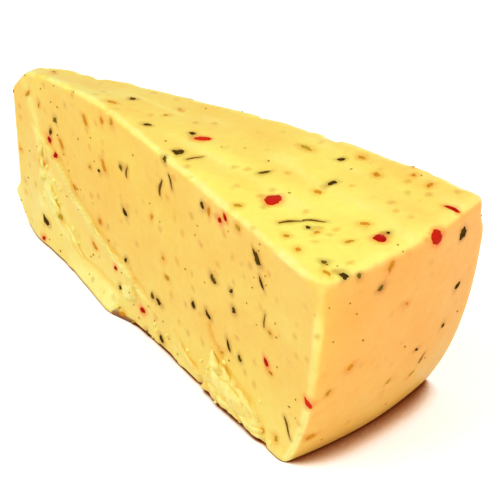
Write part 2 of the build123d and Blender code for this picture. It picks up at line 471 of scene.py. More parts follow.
def map_range(tree, place, value, start, end, to_start=0.0, to_end=1.0, kind="LINEAR"):
    """A number moved from one range to another."""
    node = add_node(tree, "ShaderNodeMapRange", place, interpolation_type=kind)
    for label, bound in (("From Min", start), ("From Max", end), ("To Min", to_start), ("To Max", to_end)):
        node.inputs[label].default_value = bound
    tree.links.new(value, node.inputs["Value"])
    return node.outputs["Result"]


def new_group(name, inputs, outputs):
    """An empty shader group with named sockets, and its input and output nodes."""
    group = bpy.data.node_groups.new(name, "ShaderNodeTree")
    for label, kind, value in inputs:
        socket = group.interface.new_socket(label, in_out="INPUT", socket_type=kind)
        if value is not None:
            socket.default_value = value
    for label, kind in outputs:
        group.interface.new_socket(label, in_out="OUTPUT", socket_type=kind)
    return group, add_node(group, "NodeGroupInput", (-900, 0)), add_node(group, "NodeGroupOutput", (700, 0))


def uneven_group():
    """Slow and quick unevenness, as a mask from 0 to 1."""
    group, given, out = new_group(
        "Unevenness",
        [("Vector", "NodeSocketVector", None), ("Swell Scale", "NodeSocketFloat", 60.0),
         ("Grain Scale", "NodeSocketFloat", 600.0), ("Grain Share", "NodeSocketFloat", 0.35)],
        [("Mask", "NodeSocketFloat")],
    )
    swell = add_node(group, "ShaderNodeTexNoise", (-600, 200))
    grain = add_node(group, "ShaderNodeTexNoise", (-600, -100))
    swell.inputs["Detail"].default_value = 3.0
    grain.inputs["Detail"].default_value = 4.0
    mix = add_node(group, "ShaderNodeMix", (-200, 0), data_type="FLOAT")
    link = group.links.new
    link(given.outputs["Vector"], swell.inputs["Vector"])
    link(given.outputs["Vector"], grain.inputs["Vector"])
    link(given.outputs["Swell Scale"], swell.inputs["Scale"])
    link(given.outputs["Grain Scale"], grain.inputs["Scale"])
    link(given.outputs["Grain Share"], mix.inputs["Factor"])
    link(swell.outputs["Fac"], mix.inputs["A"])
    link(grain.outputs["Fac"], mix.inputs["B"])
    link(map_range(group, (200, 0), mix.outputs["Result"], 0.3, 0.7), out.inputs["Mask"])
    return group


def buried_group():
    """Flecks just under the surface: soft spots, with a random value for each."""
    group, given, out = new_group(
        "Buried flecks",
        [("Vector", "NodeSocketVector", None), ("Scale", "NodeSocketFloat", 300.0),
         ("Size", "NodeSocketFloat", 0.3), ("Rarity", "NodeSocketFloat", 0.6)],
        [("Mask", "NodeSocketFloat"), ("Pick", "NodeSocketFloat")],
    )
    bend = add_node(group, "ShaderNodeTexNoise", (-700, -200))
    bend.inputs["Scale"].default_value = 700.0
    push = add_node(group, "ShaderNodeVectorMath", (-500, 0), operation="MULTIPLY_ADD")
    push.inputs[1].default_value = (0.0016, 0.0016, 0.0016)
    cells = add_node(group, "ShaderNodeTexVoronoi", (-250, 0))
    split = add_node(group, "ShaderNodeSeparateColor", (0, -200))
    near = add_node(group, "ShaderNodeMapRange", (0, 100), interpolation_type="SMOOTHSTEP")
    near.inputs["To Min"].default_value = 1.0
    near.inputs["To Max"].default_value = 0.0
    rare = add_node(group, "ShaderNodeMath", (200, -200), operation="GREATER_THAN")
    both = add_node(group, "ShaderNodeMath", (400, 0), operation="MULTIPLY")
    link = group.links.new
    link(given.outputs["Vector"], bend.inputs["Vector"])
    link(bend.outputs["Color"], push.inputs[0])
    link(given.outputs["Vector"], push.inputs[2])
    link(push.outputs[0], cells.inputs["Vector"])
    link(given.outputs["Scale"], cells.inputs["Scale"])
    link(cells.outputs["Distance"], near.inputs["Value"])
    link(given.outputs["Size"], near.inputs["From Max"])
    link(cells.outputs["Color"], split.inputs["Color"])
    link(split.outputs["Red"], rare.inputs[0])
    link(given.outputs["Rarity"], rare.inputs[1])
    link(near.outputs["Result"], both.inputs[0])
    link(rare.outputs["Value"], both.inputs[1])
    link(both.outputs["Value"], out.inputs["Mask"])
    link(split.outputs["Green"], out.inputs["Pick"])
    return group


def shared_group(name, maker):
    return bpy.data.node_groups.get(name) or maker()


def use_group(tree, group, place, vector, **values):
    node = add_node(tree, "ShaderNodeGroup", place, node_tree=group)
    tree.links.new(vector, node.inputs["Vector"])
    for label, value in values.items():
        node.inputs[label.replace("_", " ")].default_value = value
    return node


def colour_mix(tree, place, factor, first, second, blend="MIX"):
    """A colour mix whose inputs are sockets, colours or numbers."""
    node = add_node(tree, "ShaderNodeMix", place, data_type="RGBA", blend_type=blend)
    for socket, value in ((node.inputs[0], factor), (node.inputs[6], first), (node.inputs[7], second)):
        if isinstance(value, bpy.types.NodeSocket):
            tree.links.new(value, socket)
        elif isinstance(value, (int, float)):
            socket.default_value = value
        else:
            socket.default_value = tuple(value)[:3] + (1.0,)
    return node.outputs[2]


def new_material(name):
    material = bpy.data.materials.new(name)
    material.use_nodes = True
    tree = material.node_tree
    shader = tree.nodes["Principled BSDF"]
    where = add_node(tree, "ShaderNodeTexCoord", (-1500, 0))
    return material, tree, shader, where.outputs["Object"]


def math_node(tree, place, operation, *values):
    node = add_node(tree, "ShaderNodeMath", place, operation=operation)
    for socket, value in zip(node.inputs, values):
        if isinstance(value, bpy.types.NodeSocket):
            tree.links.new(value, socket)
        else:
            socket.default_value = value
    return node.outputs[0]


def cheese_material(look):
    """Cut paste, rind, and smeared paste with painted highlights on its lit edges and ridges, told apart by
    the piece's own zones; the top's paler share is partly painted light, and the stain colours bring in
    painted shade and glow.
    """
    material, tree, shader, vector = new_material("Cheese")
    zones = add_node(tree, "ShaderNodeAttribute", (-1500, -300), attribute_name="zones")
    split = add_node(tree, "ShaderNodeSeparateColor", (-1300, -300))
    tree.links.new(zones.outputs["Color"], split.inputs["Color"])
    rind, top, pale = split.outputs["Red"], split.outputs["Green"], split.outputs["Blue"]
    # Stain colours: fleck halos and crust, with painted shade in hollows, undercuts and round the rolls, and
    # a painted glow on the rind.
    stain = add_node(tree, "ShaderNodeAttribute", (-1500, -500), attribute_name="stain")

    uneven = use_group(tree, shared_group("Unevenness", uneven_group), (-1100, 300), vector,
                       Swell_Scale=70.0, Grain_Scale=420.0, Grain_Share=0.4).outputs["Mask"]
    buried = use_group(tree, shared_group("Buried flecks", buried_group), (-1100, 0), vector,
                       Scale=260.0, Size=0.44, Rarity=0.68)
    # The top's lemon: partly its own paler tone, partly painted light from above.
    paste = colour_mix(tree, (-800, 300), top, look.cut_colour, look.top_colour_and_light)
    paste = colour_mix(tree, (-600, 300), pale, paste, look.smear_and_highlight_colour)
    paste = colour_mix(tree, (-400, 300), rind, paste, look.rind_colour)
    deeper = colour_mix(tree, (-400, 100), 1.0, paste, look.deep_tint, "MULTIPLY")
    share = math_node(tree, (-400, -50), "MULTIPLY", uneven, 0.9)
    paste = colour_mix(tree, (-200, 300), share, paste, deeper)
    tint = colour_mix(tree, (-800, 0), buried.outputs["Pick"], look.buried_warm, look.buried_olive)
    open_face = math_node(tree, (-800, -200), "MULTIPLY_ADD", rind, -0.6, 1.0)
    amount = math_node(tree, (-600, -200), "MULTIPLY", buried.outputs["Mask"], open_face)
    amount = math_node(tree, (-400, -200), "MULTIPLY", amount, 0.8)
    spotted = colour_mix(tree, (-200, 0), 1.0, paste, tint, "MULTIPLY")
    paste = colour_mix(tree, (0, 200), amount, paste, spotted)
    paste = colour_mix(tree, (200, 200), 1.0, paste, stain.outputs["Color"], "MULTIPLY")
    tree.links.new(paste, shader.inputs["Base Color"])

    tree.links.new(map_range(tree, (0, -100), uneven, 0, 1, 0.36, 0.52), shader.inputs["Roughness"])

    fine = use_group(tree, shared_group("Unevenness", uneven_group), (-1100, -700), vector,
                     Swell_Scale=260.0, Grain_Scale=1500.0, Grain_Share=0.35).outputs["Mask"]
    bump = add_node(tree, "ShaderNodeBump", (0, -500))
    bump.inputs["Strength"].default_value = 0.6
    bump.inputs["Distance"].default_value = 0.0003
    tree.links.new(fine, bump.inputs["Height"])
    tree.links.new(bump.outputs["Normal"], shader.inputs["Normal"])
    shader.inputs["Subsurface Weight"].default_value = look.translucency
    shader.inputs["Subsurface Radius"].default_value = (1.0, 0.6, 0.2)
    shader.inputs["Subsurface Scale"].default_value = 0.003
    shader.inputs["Specular IOR Level"].default_value = 0.45
    return material


def fleck_material(name, dark, light, other, roughness, swell):
    """A dried fleck: two colours run into each other, changing from one fleck to the
    next towards a third, with a crinkled surface."""
    material, tree, shader, vector = new_material(name)
    mask = use_group(tree, shared_group("Unevenness", uneven_group), (-1100, 200), vector,
                     Swell_Scale=swell, Grain_Scale=2600.0, Grain_Share=0.45).outputs["Mask"]
    pick = add_node(tree, "ShaderNodeAttribute", (-1100, -200), attribute_name="pick")
    share = map_range(tree, (-800, -200), pick.outputs["Fac"], 0.5, 1.0)
    run = colour_mix(tree, (-800, 200), mask, dark, light)
    tree.links.new(colour_mix(tree, (-500, 200), share, run, other), shader.inputs["Base Color"])
    bump = add_node(tree, "ShaderNodeBump", (-300, -300))
    bump.inputs["Strength"].default_value = 0.5
    bump.inputs["Distance"].default_value = 0.0002
    tree.links.new(mask, bump.inputs["Height"])
    tree.links.new(bump.outputs["Normal"], shader.inputs["Normal"])
    shader.inputs["Roughness"].default_value = roughness
    shader.inputs["Specular IOR Level"].default_value = 0.03
    return material


# ---------------------------------------------------------------------------
# Flecks. Those that catch the eye have their own place on a face: for the near
# face (distance from the tip, height), for the top (distance from the tip,
# distance from the middle line) and for the rind (distance from the middle
# line, height), each followed by length, width and turn in degrees.

PEPPER = (
    ("top", 113.5, -10, 4.8, 4.6, 40), ("top", 143, -4, 3.6, 3.4, 60), ("top", 80, -2, 4.2, 2.2, 42),
    ("top", 146, 17, 5.0, 1.1, 10), ("rind", 8, 58, 4.4, 4.4, 30), ("near", 20, 35, 2.6, 2.0, 40),
    ("near", 23, 32, 1.9, 1.5, 80), ("near", 126, 25, 2.8, 1.7, -40), ("near", 144, 23, 4.2, 1.6, -65),
    ("near", 15, 2, 2.0, 1.2, 20), ("near", 67, 7, 2.6, 1.7, 10), ("near", 107, 55, 1.7, 1.4, 30),
    ("near", 109.5, 57, 2.4, 1.2, -50), ("near", 54, 13, 1.6, 1.2, 0),
)
HERB = (
    ("near", 21, 38, 2.6, 1.6, 60), ("near", 24, 43, 3.0, 1.8, 20), ("near", 99, 55, 2.6, 1.8, 40),
    ("near", 103, 36, 3.4, 2.6, 70), ("near", 112, 32, 2.8, 1.6, 80), ("near", 111, 37, 2.4, 1.2, 40),
    ("near", 123, 53, 6.0, 2.6, -55), ("near", 125, 47, 4.0, 1.0, -60), ("near", 72, 14, 3.2, 1.4, 70),
    ("near", 75, 14, 3.2, 1.8, -35), ("near", 76, 3, 2.6, 2.2, 60), ("near", 93, 23, 3.2, 1.8, 50),
    ("near", 100, 24, 4.0, 1.3, -35), ("near", 60, 33, 3.0, 1.8, -40), ("near", 81, 59, 2.6, 2.0, 0),
    ("near", 114, 19, 2.4, 1.4, -45), ("near", 109, 20, 4.0, 1.0, -70), ("near", 59, 18, 2.2, 1.2, 80),
    ("near", 16, 8, 5.0, 2.4, -30), ("near", 56, 8, 1.8, 1.4, 90), ("top", 81, -11, 4.4, 2.8, 45),
    ("top", 118, 5, 2.6, 2.4, 0), ("top", 148, -20, 3.3, 1.9, 20), ("top", 112, 14, 2.4, 1.4, 50),
    ("top", 128, -12.5, 1.8, 1.0, 10), ("top", 141, -20, 1.9, 1.2, 30),
    ("top", 50, 1, 2.4, 1.6, 20), ("top", 65, -7, 2.6, 1.4, 60), ("top", 76, -2, 2.2, 1.4, 0),
    ("top", 103, -3, 3.6, 1.0, 60), ("rind", 18, 54, 4.2, 3.4, 60), ("rind", -10, 52, 2.2, 1.6, 30),
    ("rind", 19, 38, 2.6, 1.8, 60), ("rind", 16, 27, 1.8, 1.2, 0),
)
LEAF_SHRINK = 0.92          # dried leaf draws in, mostly across
LEAF_NARROW = 0.76
LEAVES = [(*spot, long * LEAF_SHRINK, broad * LEAF_NARROW, turn) for *spot, long, broad, turn in HERB]

GOLD = (
    ("near", 9, 44, 4.4, 1.1, 40), ("near", 41, 51, 4.2, 1.8, -45), ("near", 50, 55, 2.2, 1.5, 80),
    ("near", 55, 57, 2.6, 1.5, 80), ("near", 27, 37, 3.6, 1.4, -50), ("near", 50, 42, 4.4, 1.8, -55),
    ("near", 17, 26, 3.4, 1.3, -10), ("near", 33, 27, 2.4, 1.6, 10), ("near", 25, 14, 2.6, 2.0, -30),
    ("near", 46, 23, 2.4, 1.8, 20), ("near", 43, 14, 3.4, 1.4, -25), ("near", 74, 39, 2.2, 1.2, 60),
    ("near", 80, 24, 2.6, 1.6, 20), ("near", 102, 55, 3.0, 1.4, 85), ("near", 115, 57, 2.6, 1.6, 10),
    ("near", 128, 23, 2.0, 1.2, 0), ("near", 130, 5, 2.2, 1.4, 85), ("top", 49, -5, 3.2, 1.2, 20),
    ("top", 102, 12, 4.0, 1.6, 0), ("top", 115, 18, 2.2, 1.4, 10), ("top", 123, 15, 2.4, 1.6, 0),
    ("top", 118.5, 0, 2.6, 1.8, 10), ("top", 131, -12.5, 1.6, 1.0, 70), ("top", 127, -18.5, 1.8, 1.1, 40),
    ("top", 109.5, -17.5, 2.2, 1.5, 30), ("top", 133, -20.5, 1.9, 1.4, 0), ("top", 144.5, -22.5, 3.0, 1.2, 0),
    ("top", 136, -2, 2.8, 1.6, 40), ("rind", -7, 57, 3.6, 1.6, 60), ("top", 139, -10, 2.8, 1.1, 70),
    ("rind", -21, 9, 3.0, 2.8, 0), ("rind", -21, 25, 2.4, 1.2, 70), ("rind", -16, 31, 2.4, 1.4, 60),
)
CRUMBS = (
    ("near", 17.5, 19.5, 2.0, 1.6, 20), ("near", 20, 20.5, 1.8, 1.4, 70), ("near", 15.5, 22.5, 1.6, 1.4, 0),
    ("near", 22.5, 18.5, 1.5, 1.2, 40), ("near", 31.5, 13.5, 2.2, 1.5, -30), ("near", 34, 10.5, 1.6, 1.1, 10),
    ("near", 45, 12, 1.5, 1.1, 60), ("near", 107, 14, 1.6, 1.2, -20), ("near", 96, 8, 1.8, 1.2, 50),
    ("near", 89.5, 7.5, 1.5, 1.0, 0), ("near", 79, 6, 1.6, 1.3, 35), ("near", 128.5, 3, 1.9, 1.4, -35),
)
STEMS = (
    ("near", 79, 50, 5.6, 1.2, 80), ("near", 84, 54, 4.0, 1.0, -60), ("near", 135, 11, 6.0, 0.9, -60),
    ("near", 62, 46, 3.6, 0.8, 85), ("near", 126, 37, 4.4, 0.5, 85), ("top", 123.5, -13.5, 5.9, 1.0, 57),
    ("top", 127, -9.5, 5.6, 0.85, 42), ("top", 86, -10, 4.4, 0.5, 70), ("rind", 11, 19, 3.6, 0.6, 80),
)


def face_places(form, flecks):
    """The points, outward directions and along directions of flecks given by face."""
    rough, along = [], []
    for face, first, second, *_ in flecks:
        if face == "near":
            rough.append(form.near_corner + form.near_along * first + np.array((0, 0, second)))
            along.append(form.near_along)
        elif face == "top":
            rough.append(np.array((TIP_X + first, second, form.height)))
            along.append(np.array((1.0, 0, 0)))
        else:
            reach = math.sqrt(form.rind_radius(np.array(float(second))) ** 2 - first**2)
            rough.append(np.array((WHEEL_X + reach, first, second)))
            along.append(np.array((0, 1.0, 0)))
    points, out = form.settle(np.array(rough, float))
    return points, out, np.array(along)


# ---------------------------------------------------------------------------
# The sizes and colours that a user would change.

def length(name, description, millimetres):
    return FloatProperty(name=name, description=description, default=millimetres * MM,
                         unit="LENGTH", precision=4)


def angle(name, description, degrees):
    return FloatProperty(name=name, description=description, default=math.radians(degrees), subtype="ANGLE")


def power(name, description, watts):
    return FloatProperty(name=name, description=description, default=watts, unit="POWER")


def colour(name, description, value):
    return FloatVectorProperty(name=name, description=description, default=value, size=3,
                               min=0.0, max=1.0, subtype="COLOR")


class CheeseShape(bpy.types.PropertyGroup):
    height: FloatProperty(name="Height", description="Height of the flat part of the top",
                          default=HIGH.z, unit="LENGTH", precision=4)
    wheel_radius: length("Wheel Radius", "Radius of the wheel that the wedge was cut from", WHEEL_RADIUS)
    near_angle: angle("Near Angle", "Turn of the near cut from the middle line", 10.5)
    far_angle: angle("Far Angle", "Turn of the far cut from the middle line", 9.6)
    tip_width: length("Tip Width", "Width of the blunt tip", 2.6)
    edge_round: length("Edge Round", "Rounding of the knife-cut edges", 1.0)
    shoulder_round: length("Shoulder Round", "Rounding between the rind and the top", 3.2)


class CheeseLook(bpy.types.PropertyGroup):
    cut_colour: colour("Cut", "Paste on the two upright cuts", (0.97, 0.655, 0.105))
    # The top's colour is partly its own paler tone and partly painted light from above.
    top_colour_and_light: colour("Top", "Paste on the top cut", (0.98, 0.91, 0.15))
    # Used both for smeared paste and for painted highlights on the lit edges and ridges.
    smear_and_highlight_colour: colour("Smear", "Paste smeared by the knife", (1.0, 0.96, 0.31))
    rind_colour: colour("Rind", "The rind", (0.95, 0.475, 0.082))
    deep_tint: colour("Deep Tint", "Multiplied in where the paste is deeper in colour", (1.0, 0.84, 0.64))
    buried_warm: colour("Buried Warm", "Tint of warm flecks under the surface", (0.90, 0.58, 0.28))
    buried_olive: colour("Buried Olive", "Tint of olive flecks under the surface", (0.74, 0.60, 0.28))
    pepper_colour: colour("Pepper", "Red pepper flakes", (0.52, 0.004, 0.002))
    herb_colour: colour("Herb", "Dark herb leaf", (0.022, 0.006, 0.001))
    gold_colour: colour("Golden Bits", "Pale seeds and pepper skin", (0.68, 0.27, 0.012))
    stem_colour: colour("Stems", "Herb stems", (0.22, 0.09, 0.007))
    translucency: FloatProperty(name="Translucency",
                                description="Share of light that spreads under the surface",
                                default=0.12, min=0.0, max=1.0, subtype="FACTOR")


class CheeseFlecks(bpy.types.PropertyGroup):
    specks: FloatProperty(name="Specks", description="Specks on each square metre of cut", default=20000.0)
    seed: IntProperty(name="Seed", description="Changes where the scattered flecks lie", default=4)


class CheeseStudio(bpy.types.PropertyGroup):
    azimuth: angle("Azimuth", "Turn of the camera round the wedge", 47.95)
    elevation: angle("Elevation", "Height angle of the camera", 32.67)
    roll: angle("Roll", "Tilt of the camera about its own line of sight", -1.4)
    distance: FloatProperty(name="Distance", description="From the camera to the point it looks at",
                            default=0.69, unit="LENGTH")
    lens: FloatProperty(name="Lens", description="Focal length of the camera", default=182.6, unit="CAMERA")
    key_power: power("Key Power", "Power of the soft lamp above the near cut", 2.42)
    side_power: power("Side Power", "Power of the soft lamp facing the rind", 2.3)
    back_power: power("Back Power", "Power of the low lamp facing the far cut", 2.0)
    fill: FloatProperty(name="Fill", description="Strength of the light from all round", default=0.58)


# ---------------------------------------------------------------------------
# Operators.

class CHEESE_OT_body(bpy.types.Operator):
    """Makes the body of the wedge, with the marks that the knife left on it"""

    bl_idname = "cheese.body"
    bl_label = "Cheese Body"

    def execute(self, context):
        scene = context.scene
        form = Form(scene.cheese_shape)
        lattice, quads = box_skin(SKIN_COUNTS)
        places = [spaced(count, bunching) for count, bunching in zip(SKIN_COUNTS, BUNCHING)]
        s, w, h = (places[axis][lattice[:, axis]] for axis in range(3))
        points, out = form.settle(form.hard_point(s, w, h))

        away = form.distances(points)
        near, far, top, base, rind = (ease(away[k], -1.4, -0.2) for k in range(5))
        a, _ = form.near(points)
        b, _ = form.far(points)
        height, *marks = near_relief(a, points[:, 2], points)
        shift = form.near_out * (near * height)[:, None]
        shift += form.far_out * (far * (1 - near) * far_relief(b, points[:, 2], points))[:, None]
        streaks = noise(points * (0.35, 1.0, 1.0), 6.0, 34)
        level = 0.22 * noise(points, 24.0, 31) + 0.10 * noise(points, 7.0, 32) + 0.06 * streaks
        shift[:, 2] += top * (1 - base) * level
        shift += out * (rind * 0.18 * noise(points, 13.0, 33))[:, None]
        bead = hump(points[:, 2], BEAD_HEIGHT, 2.6) * (1 - ease(points[:, 0], TIP_X + 1.0, TIP_X + 5.0))
        shift[:, 0] -= BEAD_PROUD * bead
        shift -= out * self.nicks(form, points, away)[:, None]
        smooth = points
        points = points + shift
        points[:, 2] = np.maximum(points[:, 2], 0.0)

        body = new_mesh("cheese_body", points, quads)
        marks = [near * mark for mark in marks]
        self.paint_zones(body, smooth, away, marks[0])
        self.paint_stain(body, points, away, *marks[1:])
        self.paint_room(body, form, points, away)
        body.data.materials.append(cheese_material(scene.cheese_look))
        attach(body, BODY)
        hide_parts(NODE)
        return {"FINISHED"}

    def nicks(self, form, points, away):
        """How deep the nicks and crumbled spots along the edges go."""
        edge = hump(np.maximum(away[0], away[1]) + away[2], -0.8, 1.9) * ease(away[2], -3.4, -0.8)
        edge = edge * ease(np.maximum(away[0], away[1]), -3.0, -0.8)
        depth = 0.9 * edge * np.maximum(noise(points, 2.8, 35) - 0.15, 0)
        depth += 0.25 * edge * noise(points, 5.0, 36)
        starts = {"near": (form.near_corner, form.near_along), "far": (form.far_corner, form.far_along)}
        for face, along, up, radius in NICKS:
            corner, direction = starts[face]
            where = corner + direction * along + np.array((0, 0, up))
            gap = (points - where) * (1.0, 1.0, 0.8) / radius
            depth += 1.1 * np.exp(-(gap**2).sum(axis=1) ** 1.5)
        return depth

    def paint_zones(self, body, points, away, smeared_and_lit):
        """Red is rind; green is the lemon share, the top cut's own paler tone together with painted light;
        blue is smeared paste together with painted highlights on the lit edges and painted light on the lower
        rind.
        """
        near, far, top, base, rind = away[:5]
        ragged = 0.5 * noise(points, 3.2, 41) + 0.3 * noise(points, 9.0, 42)
        on_rind = np.maximum(ease(rind, -0.9, 0.0), ease(base, -0.6, 0.0))
        on_top = ease(top + 0.3 * ragged, -1.5, -0.5)
        streaks = noise(points * (0.3, 1.0, 1.0), 5.0, 43)
        # Painted light: the top's lemon share grows towards the front corner and the near side, where the
        # lamps light it most.
        forward = ease(points[:, 0], TIP_X + 40, TIP_X + 140)
        lemon = 0.40 + 0.36 * forward - 0.020 * points[:, 1] + 0.3 * streaks
        lemon = on_top * np.clip(lemon + 0.25 * (1 - ease(points[:, 0], TIP_X, TIP_X + 34)), 0, 1)
        towards_tip = 1 - ease(points[:, 0], TIP_X + 5, TIP_X + 95)
        low = 1 - ease(points[:, 2], 2, 34)
        cut_lemon = 0.05 + 0.06 * towards_tip + 0.16 * low + 0.20 * noise(points, 10.0, 47)
        lemon = lemon + (1 - on_top) * (1 - on_rind) * np.clip(cut_lemon, 0, 1)
        side = np.maximum(near, far)
        # Painted highlight along the rounded edges where the cuts meet the top.
        band = hump(side + top + 0.5 * ragged, -0.7, 1.0 + 0.5 * ragged)
        band = band * ease(side, -2.6, -0.6) * ease(top, -2.6, -0.6)
        band = band * np.clip(0.95 + 0.7 * noise(points, 4.5, 45) + 0.5 * noise(points, 1.6, 46), 0.1, 1)
        # Painted highlight along the near cut's edge with the rind, kept mostly off the far side, which faces
        # away from the light.
        front = hump(side + rind + 0.5 * ragged, -0.7, 1.0) * ease(side, -3.8, -1.0) * ease(rind, -3.0, -0.8)
        front = front * (1 - 0.7 * ease(points[:, 1], -5.0, 10.0))
        # Painted glow: the rind turns golden beside the lit near cut.
        rind_glow = 0.7 * np.exp(np.minimum(near, 0) / 6.0) * (0.4 + 0.6 * ease(points[:, 2], 8, 42))
        shoulder = hump(top + rind, -1.4, 2.6) * ease(top, -6.0, -1.5) * ease(rind, -6.0, -1.5)
        smears = on_top * np.clip(noise(points * (0.22, 1.0, 1.0), 3.2, 48) - 0.25, 0, 1) * 0.6
        # Painted light on the lower rind, which faces down to the floor and takes its bounce.
        low_rind = on_rind * (1 - ease(points[:, 2], 4, 38)) * (0.34 + 0.10 * ragged)
        tip = ease(away[5], -1.6, -0.4) * (0.35 + 0.3 * ragged)
        at_tip = 1 - ease(points[:, 0], TIP_X + 1, TIP_X + 6)
        tip = tip + 0.6 * hump(points[:, 2], BEAD_HEIGHT, 3.0) * at_tip
        pale = np.clip(smeared_and_lit + band + 0.9 * front + 0.3 * shoulder + low_rind + tip + smears, 0, 1)
        rind_share = on_rind * (1 - low_rind) * (1 - rind_glow) * (1 - 0.9 * np.clip(front, 0, 1)) * (1 - on_top)
        paint(body, "zones", "FLOAT_COLOR", np.stack((rind_share, lemon, pale, np.ones(len(points))), axis=1))

    def paint_stain(self, body, points, away, groove_shade, crust_and_shade):
        """Where the paste is deeper in colour: painted shade in the hollows, the crust at the foot with
        painted shade in its undercuts, a painted glow on the rind beside the near cut, and less blue high on
        the near cut towards the tip.
        """
        stain = np.ones((len(points), 3))
        z = points[:, 2]
        # Painted glow on the rind beside the lit near cut, and less blue high on the near cut towards the
        # tip.
        glow = np.exp(np.minimum(away[0], 0) / 6.0) * ease(away[4], -1.5, 0.0) * (0.3 + 0.7 * ease(z, 8, 42))
        upper = ease(away[0], -1.0, 0.0) * ease(z, 22, 44) * (1 - ease(points[:, 0], TIP_X + 60, TIP_X + 125))
        stain[:, 2] *= (1 - 0.30 * glow) * (1 - 0.28 * upper)
        # Painted shade in the hollows, then the crust with painted shade in the undercut gaps.
        stain *= 1 - groove_shade[:, None] * (1 - np.array((0.98, 0.74, 0.35)))
        stain *= 1 - crust_and_shade[:, None] * (1 - np.array((0.30, 0.16, 0.10)))
        paint(body, "stain", "FLOAT_COLOR", np.concatenate((stain, np.ones((len(points), 1))), axis=1))

    def paint_room(self, body, form, points, away):
        """How much room each place leaves for scattered flecks and for specks."""
        near, top, base, rind = (ease(away[k], -1.0, 0.0) for k in (0, 2, 3, 4))
        room = 1 - 0.72 * near - 0.8 * top - 0.86 * np.maximum(rind, base)
        speck = 1 - 0.6 * top - 0.75 * np.maximum(rind, base)
        for flecks in (PEPPER, HERB, GOLD, STEMS):
            places, _, _ = face_places(form, flecks)
            for place in places:
                room *= ease(((points - place) ** 2).sum(axis=1), 4.0, 16.0)
        dense = np.clip(0.9 + 0.9 * noise(points, 11.0, 44), 0.1, 2.0)
        paint(body, "fleck_room", "FLOAT", np.clip(room, 0, 1))
        a, z = form.near(points)[0], points[:, 2]
        loose = between(a, 13, 27, 2.0) * between(z, 11, 27, 2.0)
        loose += 0.5 * between(a, 97, 124, 2.0) * between(z, 1, 13, 1.0)
        loose += 0.10 * (1 - ease(z, 3, 9)) * between(a, 20, 95, 8.0)
        paint(body, "crumb_room", "FLOAT", np.clip(near * loose, 0, 1))
        hidden = (1 - ease(away[0], -3.0, -1.5)) * (1 - ease(away[2], -3.0, -1.5))
        paint(body, "pepper_room", "FLOAT", np.clip(room * hidden * (1 - ease(away[4], -3.0, -1.5)), 0, 1))
        paint(body, "speck_room", "FLOAT", np.clip(speck * dense / 2, 0, 1))


# The outline of each kind of shape: its size, how much it swells, how ragged and
# how broad it is.
OUTLINES = {
    "flake": (0.85, 0.26, 0.12, 1.0),
    "leaf": (0.72, 0.46, 0.17, 1.4),
    "bit": (0.80, 0.30, 0.20, 1.0),
}


def fleck_outline(kind, rng):
    """A ragged closed outline of about unit length and width."""
    count = 18
    size, swell, ragged, broad = OUTLINES[kind]
    turn = np.linspace(0, 2 * np.pi, count, endpoint=False)
    wave = sum(rng.uniform(-1, 1) / k * np.cos(k * turn + rng.uniform(0, 6)) for k in (2, 3, 4))
    reach = size + swell * wave + rng.uniform(-ragged, ragged, count)
    return 0.5 * np.stack((np.cos(turn) * reach, broad * np.sin(turn) * reach), axis=1)


def fleck_mesh(kind, seed):
    """One fleck of unit size: a thin ragged lens, a little domed and bent."""
    rng = np.random.default_rng(seed)
    outline = fleck_outline(kind, rng)
    count = len(outline)
    rings = ((1.0, -0.9), (1.06, -0.1), (0.96, 0.5), (0.6, 0.9))
    points = [np.column_stack((outline * share, np.full(count, level) + rng.uniform(-0.12, 0.12, count)))
              for share, level in rings]
    points = np.concatenate(points + [np.array([[0, 0, -0.9], [0, 0, 1.0]])])
    points[:, 2] += 0.9 * (points[:, 0] ** 2) * rng.uniform(-1, 1)
    faces = []
    for ring in range(len(rings) - 1):
        for k in range(count):
            nxt = (k + 1) % count
            low, high = ring * count, (ring + 1) * count
            faces.append((low + k, low + nxt, high + nxt, high + k))
    bottom, crown, last = len(points) - 2, len(points) - 1, (len(rings) - 1) * count
    for k in range(count):
        nxt = (k + 1) % count
        faces.append((nxt, k, bottom))
        faces.append((last + k, last + nxt, crown))
    return points, faces


def stem_mesh(seed):
    """One stem of unit length: a thin bent rod with pinched ends."""
    rng = np.random.default_rng(seed)
    rows, sides = 15, 6
    t = np.linspace(0, 1, rows)
    bend = 0.9 * rng.uniform(0.6, 1.0)
    centre = np.stack((t - 0.5, rng.uniform(0.2, 0.45) * np.sin(2 * np.pi * t * bend + 0.4), 0 * t), axis=1)
    girth = 0.5 * np.sin(np.pi * np.clip(t, 0.04, 0.96)) ** 0.35
    girth = girth * (1.15 - 0.6 * t) * rng.uniform(0.8, 1.15, rows)
    points, faces = [], []
    for k in range(rows):
        for j in range(sides):
            turn = 2 * np.pi * j / sides
            points.append(centre[k] + (0, girth[k] * math.cos(turn), girth[k] * math.sin(turn)))
    for k in range(rows - 1):
        for j in range(sides):
            n = (j + 1) % sides
            faces.append((k * sides + j, k * sides + n, (k + 1) * sides + n, (k + 1) * sides + j))
    faces.append(tuple(reversed(range(sides))))
    faces.append(tuple((rows - 1) * sides + j for j in range(sides)))
    return np.array(points), faces


def variants(name, makers):
    """A hidden collection of fleck shapes to pick from."""
    group = bpy.data.collections.new(name)
    for k, (points, faces) in enumerate(makers):
        shape = new_mesh(f"{name}_{k}", points / MM, faces)
        paint(shape, "level", "FLOAT", points[:, 2])
        bpy.context.scene.collection.objects.unlink(shape)
        group.objects.link(shape)
    return group


